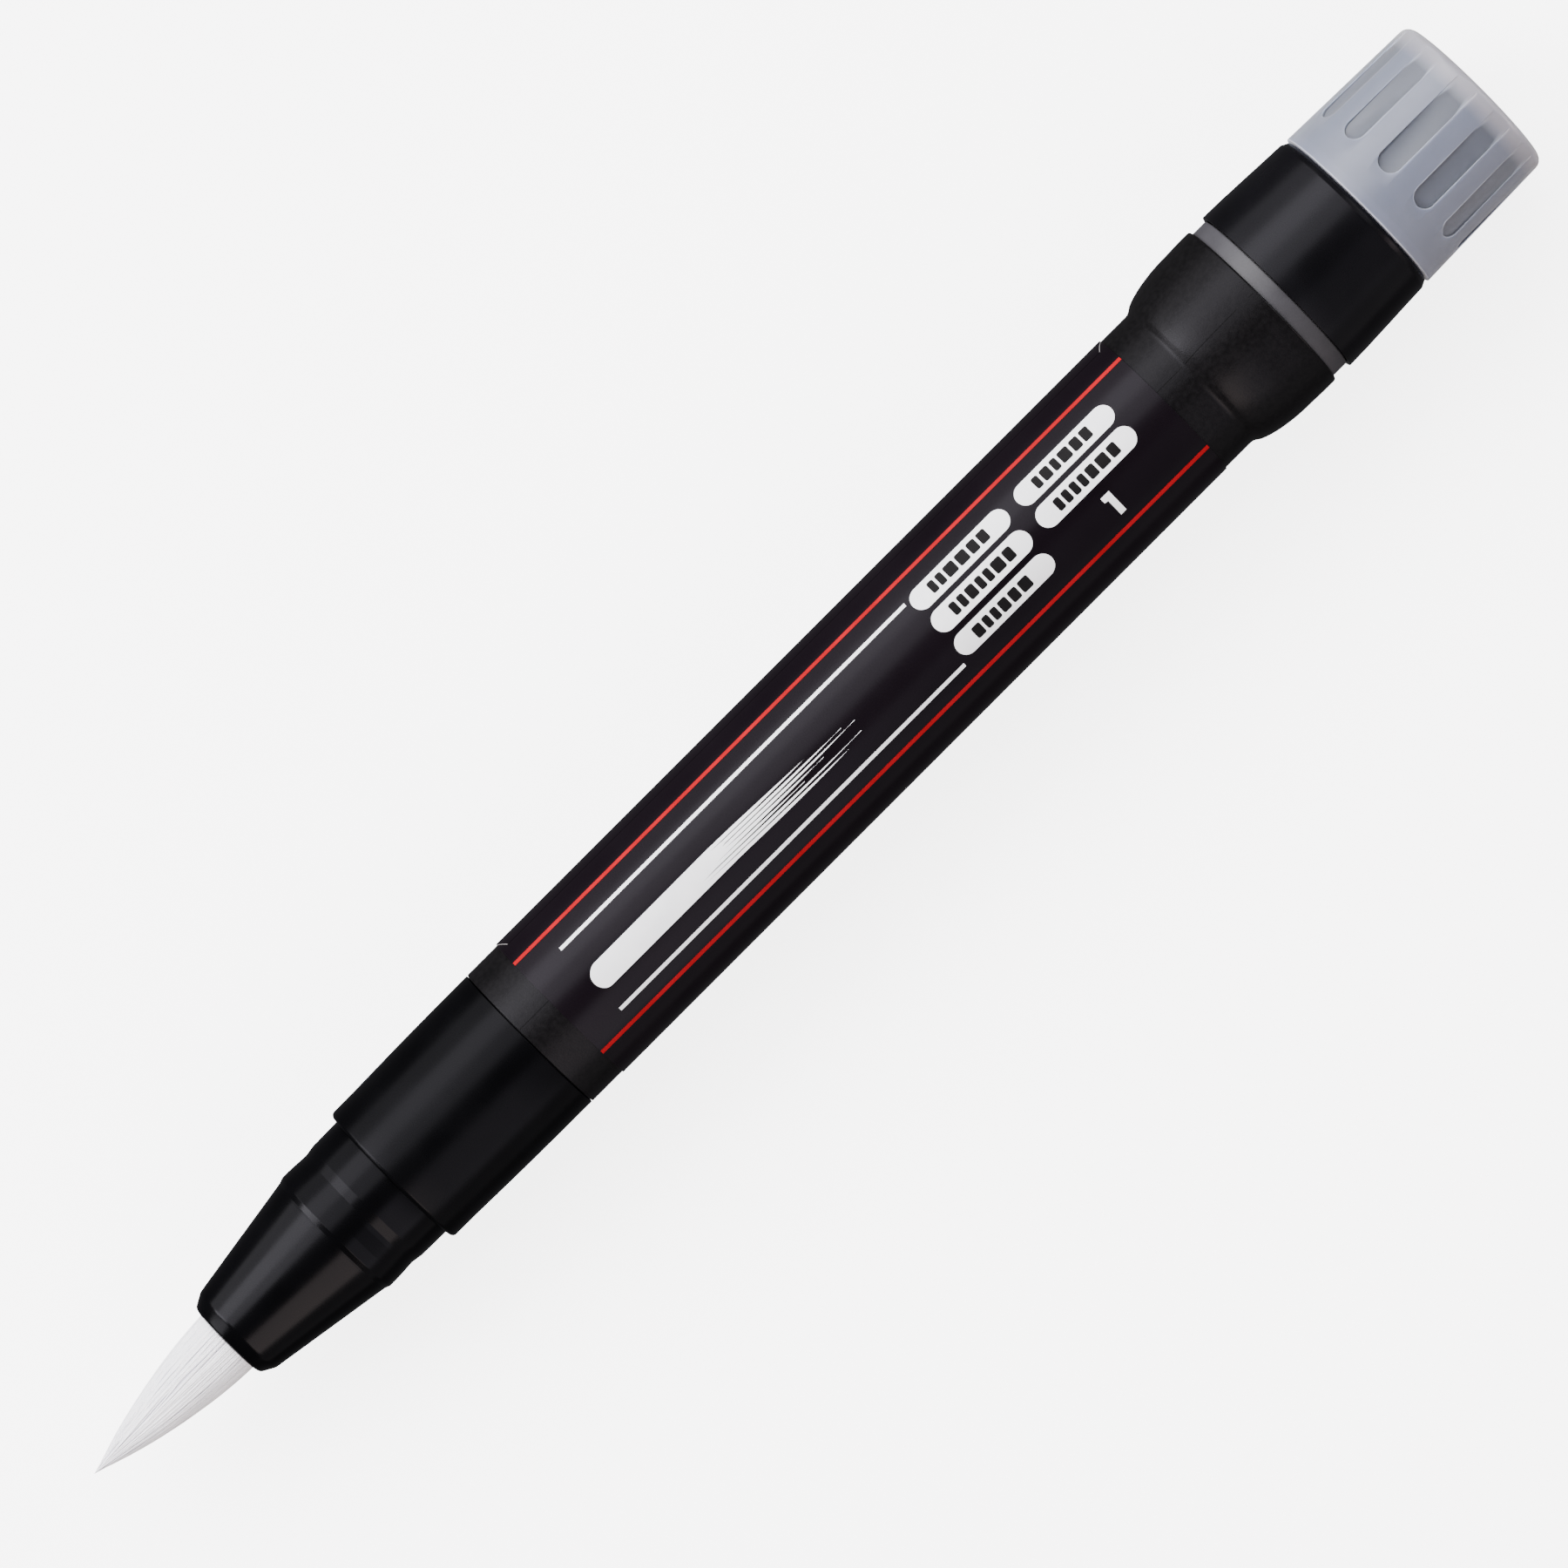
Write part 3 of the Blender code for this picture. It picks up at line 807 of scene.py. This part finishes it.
def flute_bars():
    """Round-ended bars that reach in to the floor of each flute, joined as one cutter."""
    thickness = 2.0
    half = FLUTE_WIDTH / 2
    bm = bmesh.new()
    for i in range(FLUTES):
        made = bmesh.ops.create_cone(
            bm, cap_ends=True, segments=40, radius1=half * MM, radius2=half * MM, depth=thickness * MM
        )
        verts = made["verts"]
        for vert in verts:
            if vert.co.x > 1e-7:
                vert.co.x += (KNOB_END + FLUTE_RUNOUT - FLUTE_START) * MM
        bmesh.ops.rotate(bm, verts=verts, matrix=Matrix.Rotation(math.radians(-90), 3, "Y"))
        reach_in = (FLUTE_FLOOR_R + thickness / 2) * MM
        bmesh.ops.translate(bm, verts=verts, vec=(reach_in, 0, (FLUTE_START + half) * MM))
        turn = math.radians(180 + FLUTE_TURN + 360 * i / FLUTES)
        bmesh.ops.rotate(bm, verts=verts, matrix=Matrix.Rotation(turn, 3, "Z"))
    mesh = bpy.data.meshes.new("flute_bars")
    bm.to_mesh(mesh)
    bm.free()
    return mesh


def add_knob(material):
    end = KNOB_END + 0.2
    tenon, bore, floor = 8.00, 7.30, 167.9
    outside = [
        (0.0, end), (8.325, end, 0.95), (SKIN_END_R, SKIN_END), (8.42, 165.1), (8.48, 162.4), (8.55, 159.2),
        (SKIN_START_R, SKIN_START), (8.65, KNOB_RIM + 0.4), (8.66, KNOB_RIM, 0.10),
    ]
    inside = [
        (tenon, KNOB_RIM), (tenon, KNOB_TENON), (bore, KNOB_TENON), (bore, floor, 0.4), (0.0, floor),
    ]
    corners = outside + inside
    cup = bpy.data.objects.new("cup", turned_mesh("cup", rounded(corners)))
    bars = bpy.data.objects.new("bars", flute_bars())
    for thing in (cup, bars):
        bpy.context.scene.collection.objects.link(thing)
    cut = cup.modifiers.new("flutes", "BOOLEAN")
    cut.operation = "DIFFERENCE"
    cut.object = bars
    soften = cup.modifiers.new("soften", "BEVEL")
    soften.width = 0.09 * MM
    soften.segments = 2
    soften.limit_method = "ANGLE"
    soften.angle_limit = math.radians(38)
    graph = bpy.context.evaluated_depsgraph_get()
    mesh = bpy.data.meshes.new_from_object(cup.evaluated_get(graph))
    for thing in (cup, bars):
        bpy.data.objects.remove(thing)
    mesh.materials.clear()
    mesh.shade_smooth()
    mesh.set_sharp_from_angle(angle=SHARP_EDGE)
    on_axis("fluted_knob", mesh, material, "pusher", "end_knob")


# ---------------------------------------------------------------- inside
def add_spring(name, coil_r, wire_r, turns, per_turn=28, closeness=0.55):
    """A coil with close end turns in place of the frame's spring; it is fixed to the pen's body and does not
    shorten with the knob's push.
    """
    front, rear = span(name)
    count = round(turns * per_turn)
    curve = bpy.data.curves.new(name, "CURVE")
    curve.dimensions = "3D"
    curve.bevel_depth = wire_r * MM
    curve.bevel_resolution = 3
    curve.use_fill_caps = True
    line = curve.splines.new("POLY")
    line.points.add(count)
    for i, point in enumerate(line.points):
        angle = 2 * math.pi * i / per_turn
        share = i / count
        eased = share - math.sin(2 * math.pi * share) / (2 * math.pi) * closeness
        height = front + wire_r + (rear - front - 2 * wire_r) * eased
        point.co = (coil_r * MM * math.cos(angle), coil_r * MM * math.sin(angle), height * MM, 1)
    holder = bpy.data.objects.new(name, curve)
    bpy.context.scene.collection.objects.link(holder)
    graph = bpy.context.evaluated_depsgraph_get()
    mesh = bpy.data.meshes.new_from_object(holder.evaluated_get(graph))
    bpy.data.objects.remove(holder)
    mesh.materials.clear()
    mesh.shade_smooth()
    piece = on_axis(f"{name}_coil", mesh, STEEL, "pen_body", name)
    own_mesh(piece)


def dress_inner_nodes():
    """Gives the frame's own inner solids smooth shading and a finish."""
    finishes = {
        "brush_holder": RESIN, "tuft_anchor": RESIN, "regulator_sponge": FELT, "feed_core": FELT,
        "valve_seat": RESIN, "valve_gasket": RUBBER, "nozzle_gasket": RUBBER, "valve_poppet": RESIN,
        "push_rod": STEEL, "rod_stop_ring": STEEL, "rod_guide": RESIN, "mixing_ball_1": STEEL,
        "mixing_ball_2": STEEL, "tail_plug": RESIN, "rod_seal": RUBBER, "tail_seal": RUBBER,
        "joint_seal": RUBBER, "knob_core": RESIN,
    }
    for name, material in finishes.items():
        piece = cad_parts[name]
        piece.data.materials.clear()
        piece.data.materials.append(material)
        piece.data.shade_smooth()
        weld = piece.modifiers.new("weld", "WELD")
        weld.merge_threshold = 1e-6
        split = piece.modifiers.new("split", "EDGE_SPLIT")
        split.split_angle = SHARP_EDGE


# ---------------------------------------------------------------- studio
def area_lamp(name, size, radiance, colour, place, rotation):
    """A softbox that the camera doesn't see. radiance is how bright its face looks."""
    data = bpy.data.lights.new(name, "AREA")
    data.shape = "RECTANGLE"
    data.size, data.size_y = size
    data.energy = math.pi * size[0] * size[1] * radiance
    data.color = colour
    lamp = bpy.data.objects.new(name, data)
    lamp.location = place
    lamp.rotation_euler = rotation
    lamp.visible_camera = False
    bpy.context.scene.collection.objects.link(lamp)


def panel(name, angle, spread_angle, along, radiance, colour):
    """A softbox beside the pen, a metre off, at an angle from straight up towards +Y.

    spread_angle is the angle that its width fills, and along is its two ends in metres along X.
    """
    tilt = math.radians(angle)
    size = (along[1] - along[0], 2 * math.tan(math.radians(spread_angle) / 2))
    place = (sum(along) / 2, math.sin(tilt), AXIS_Z + math.cos(tilt))
    area_lamp(name, size, radiance, colour, place, (-tilt, 0, 0))


def knob_lamp(name, place, side, radiance, colour=(1, 1, 1)):
    """A square softbox that faces the knob."""
    knob = Vector((POINT_X + (KNOB_RIM + KNOB_END) / 2 * MM, 0, AXIS_Z))
    rotation = (Vector(place) - knob).to_track_quat("Z", "Y").to_euler()
    area_lamp(name, (side, side), radiance, colour, place, rotation)


def add_sweep():
    """A white floor under a white dome. Only the camera sees them, so the black gloss stays black."""
    radius = 12.0
    floor = (0, 0, -0.05 * MM)
    bm = bmesh.new()
    bmesh.ops.create_icosphere(bm, subdivisions=5, radius=radius)
    everything = bm.verts[:] + bm.edges[:] + bm.faces[:]
    bmesh.ops.bisect_plane(bm, geom=everything, plane_co=floor, plane_no=(0, 0, 1), clear_inner=True)
    bmesh.ops.holes_fill(bm, edges=[edge for edge in bm.edges if edge.is_boundary])
    mesh = bpy.data.meshes.new("sweep")
    bm.to_mesh(mesh)
    bm.free()
    sweep = bpy.data.objects.new("sweep", mesh)
    bpy.context.scene.collection.objects.link(sweep)
    paper = new_material(
        "white_paper",
        Base_Color=(0.9, 0.9, 0.9, 1),
        Roughness=0.9,
        Specular_IOR_Level=0.0,
        Emission_Color=(1, 1, 1, 1),
        Emission_Strength=4.4,
    )
    paper.cycles.emission_sampling = "NONE"
    mesh.materials.append(paper)
    for rays in ("diffuse", "glossy", "transmission", "shadow"):
        setattr(sweep, f"visible_{rays}", False)


def add_world():
    """Dim all-round light, which the dome hides from the camera."""
    world = bpy.data.worlds.new("studio")
    bpy.context.scene.world = world
    world.use_nodes = True
    dim = world.node_tree.nodes["Background"]
    dim.inputs["Color"].default_value = (0.95, 0.95, 1.0, 1)
    dim.inputs["Strength"].default_value = 0.10


def add_camera():
    """Straight down, turned so that the brush points to the lower left."""
    height, frame_width = 1.0, 0.136
    data = bpy.data.cameras.new("camera")
    data.angle = 2 * math.atan(frame_width / 2 / height)
    data.clip_start, data.clip_end = 0.05, 50
    camera = bpy.data.objects.new("camera", data)
    camera.location = (0, 0, AXIS_Z + height)
    camera.rotation_euler = (0, 0, math.radians(-45))
    bpy.context.scene.collection.objects.link(camera)
    bpy.context.scene.camera = camera


def add_studio():
    add_sweep()
    add_world()
    add_camera()
    cool, lilac, warm = (1.0, 0.985, 1.0), (0.97, 0.93, 1.0), (1.0, 0.86, 0.78)
    panel("key", 48, 30, (-0.30, 1.0), 8.0, cool)
    panel("key_low", 78, 28, (-0.30, 1.0), 2.5, cool)
    panel("key_high", 20, 24, (-0.30, 1.0), 4.2, cool)
    panel("key_front", 48, 30, (-0.65, -0.30), 14.0, cool)
    panel("key_front_low", 78, 28, (-0.65, -0.30), 5.0, cool)
    panel("key_front_high", 23, 18, (-0.65, -0.30), 9.0, cool)
    panel("key_edge", 55, 44, (-1.05, -0.65), 20.0, cool)
    panel("key_end", 62, 60, (-2.8, -1.35), 8.0, cool)
    panel("fill", -53, 56, (-0.30, 0.0), 2.7, lilac)
    panel("fill_front", -53, 46, (-0.75, -0.30), 7.4, warm)
    panel("fill_rear", -53, 56, (0.0, 0.6), 0.5, lilac)
    panel("fill_low", -92, 40, (-0.9, 1.0), 0.5, (1.0, 0.96, 0.97))
    knob_lamp("tail_end", (1.37, 0, 0.30), 0.6, 8.0)
    knob_lamp("tail_low", (0.245, -0.10, 0.012), 0.09, 6.0, (1.0, 0.84, 0.84))


# ---------------------------------------------------------------- assembly
STEEL = steel_material()
FELT = felt_material()
BRISTLE = bristle_material((0.89, 0.89, 0.94), (0.98, 0.98, 1.0))
# the tuft's core is grey: painted shade in the gaps between the bristles
TUFT_PAINTED_SHADE = bristle_material((0.56, 0.55, 0.62), (0.72, 0.71, 0.77))

add_barrel()
add_film()
add_film_overlap()
add_stripes()
add_mark()
add_pills()
add_figure()
add_front()
add_nozzle()
add_tuft_core(TUFT_PAINTED_SHADE)
add_bristles(BRISTLE)
add_skirt()
add_sleeve()
add_knob(frosted_material())
add_spring("return_spring", 4.6, 0.35, 6)
add_spring("valve_spring", 2.3, 0.22, 4)
dress_inner_nodes()
add_studio()
